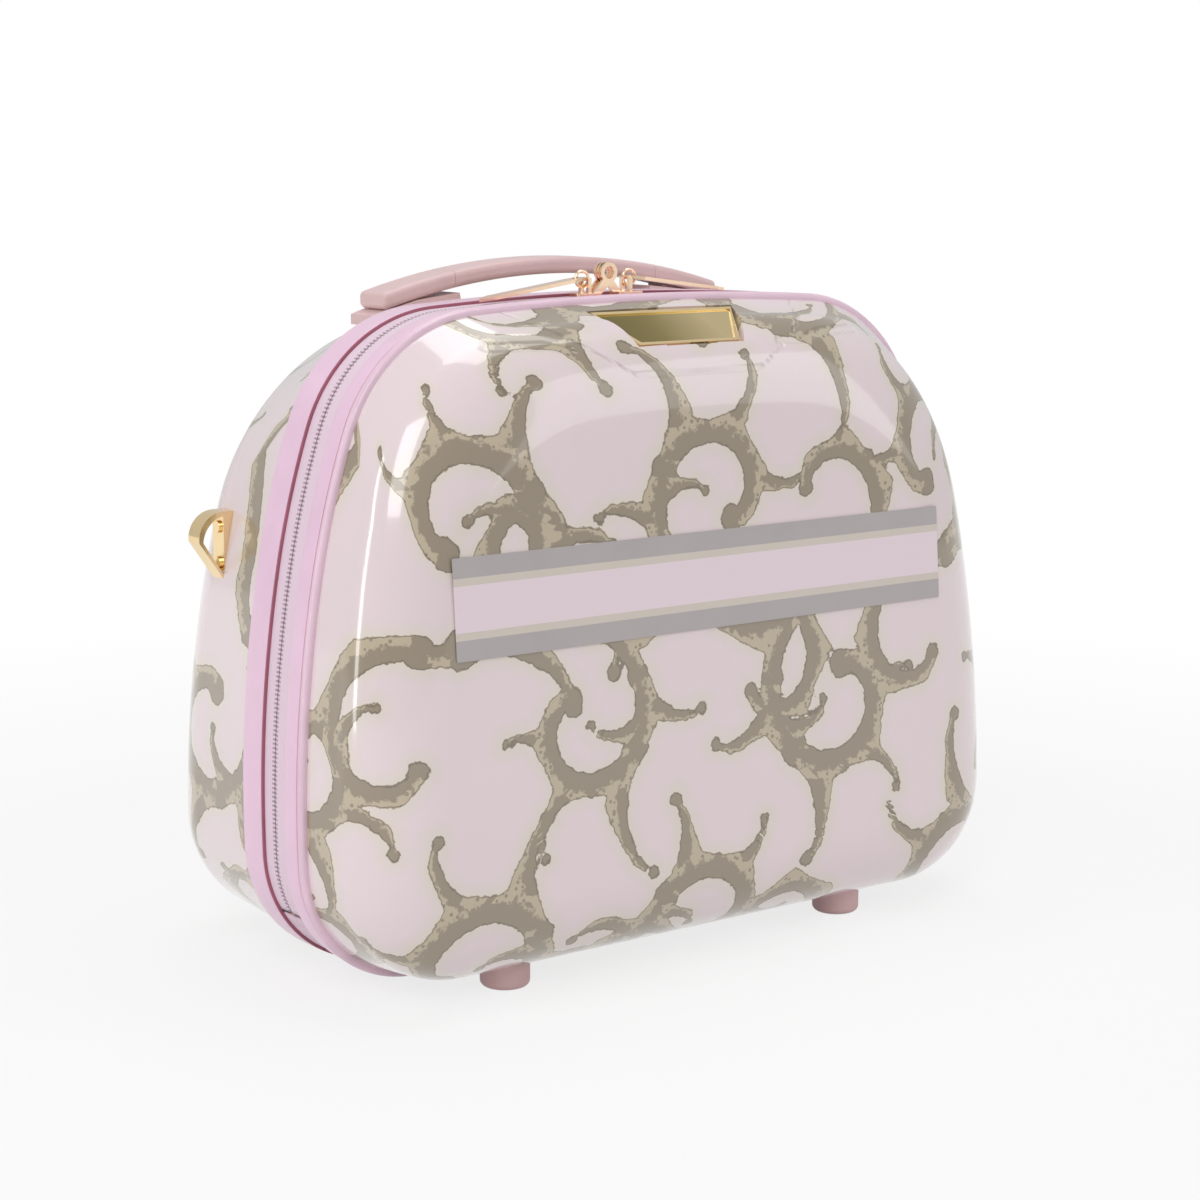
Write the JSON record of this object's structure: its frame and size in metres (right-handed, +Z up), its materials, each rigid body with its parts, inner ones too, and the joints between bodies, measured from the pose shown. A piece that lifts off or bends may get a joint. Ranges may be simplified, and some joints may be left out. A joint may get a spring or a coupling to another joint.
{
  "type": "makeup train case",
  "caption": "Hard-shell makeup case in two curved halves that open like a clamshell along a zip, with a carrying handle on top, strap loops at the sides and feet below.",
  "frame": {"origin": "on the floor, under the centre of the case's bounding box", "axes": "+Z up, +X to the right of someone facing the lid, the lid's face towards -Y, the base's flat back towards +Y"},
  "size_m": [0.3352, 0.1797, 0.2809],
  "materials": {
    "shell_print": "high gloss over a printed film",
    "band_trim": "smooth coated fabric",
    "band_piping": "coated fabric rolled over a cord",
    "zip_tape": "woven tape",
    "zip_coil": "satin",
    "gold_metal": "polished plating",
    "rose_gold": "polished plating",
    "plate_mirror": "dark mirror polish",
    "handle_rose": "soft touch",
    "backing_plastic": "moulded",
    "steel": "plain",
    "striped_film": "glossy striped film",
    "foot_rubber": "satin",
    "lining_cloth": "smooth lining cloth",
    "pocket_mesh": "fine mesh",
    "elastic_tape": "ribbed elastic"
  },
  "bodies": {
    "base": {"rear_shell": "shell_print", "rear_trim": "band_trim", "zip_tape_rear": "zip_tape", "zip_coil_rear": "zip_coil", "hinge_tape_rear": "zip_tape", "zip_stops": "gold_metal", "handle_mount_left": "handle_rose", "handle_mount_right": "handle_rose", "handle_backing_left": "backing_plastic", "handle_backing_right": "backing_plastic", "handle_screws": "steel", "strap_loop_left": "gold_metal", "strap_loop_right": "gold_metal", "loop_rivets": "gold_metal", "loop_washers": "steel", "rear_feet": "foot_rubber", "rear_foot_screws": "steel", "base_lining": "lining_cloth"},
    "lid": {"front_shell": "shell_print", "front_trim": "band_trim", "front_piping": "band_piping", "zip_tape_front": "zip_tape", "zip_coil_front": "zip_coil", "hinge_tape_front": "zip_tape", "plate_frame": "gold_metal", "name_plate": "plate_mirror", "plate_clips": "steel", "front_strip": "striped_film", "front_feet": "foot_rubber", "front_foot_screws": "steel", "lid_lining": "lining_cloth", "lid_pocket": "pocket_mesh", "pocket_elastic": "elastic_tape"},
    "slider_left": {"slider_left": "rose_gold"},
    "slider_right": {"slider_right": "rose_gold"},
    "pull_left": {"pull_ring_left": "rose_gold", "zip_pull_left": "rose_gold"},
    "pull_right": {"pull_ring_right": "rose_gold", "zip_pull_right": "rose_gold"},
    "handle": {"handle_grip": "handle_rose", "handle_end_left": "handle_rose", "handle_end_right": "handle_rose", "handle_core": "steel", "handle_pin_left": "steel", "handle_pin_right": "steel"}
  },
  "joints": [
    {"name": "lid_hinge", "type": "hinge", "parent": "base", "child": "lid", "pos_m": [0, -0.01776, 0.0042], "axis": [1, 0, 0], "range_deg": [0, 165]},
    {"name": "slider_left_travel", "type": "hinge", "parent": "base", "child": "slider_left", "pos_m": [0, -0.01776, -1.0017], "axis": [0, -1, 0], "range_deg": [0, 2.7]},
    {"name": "slider_right_travel", "type": "hinge", "parent": "base", "child": "slider_right", "pos_m": [0, -0.01776, -1.0017], "axis": [0, 1, 0], "range_deg": [0, 3.2]},
    {"name": "pull_left_swing", "type": "hinge", "parent": "slider_left", "child": "pull_left", "pos_m": [-0.0165, -0.01776, 0.27369], "axis": [0, 1, 0], "range_deg": [0, 120]},
    {"name": "pull_right_swing", "type": "hinge", "parent": "slider_right", "child": "pull_right", "pos_m": [0.0045, -0.01776, 0.27379], "axis": [0, -1, 0], "range_deg": [0, 120]},
    {"name": "handle_lift", "type": "slide", "parent": "base", "child": "handle", "axis": [0, 0, 1], "range_m": [0, 0.005]}
  ]
}
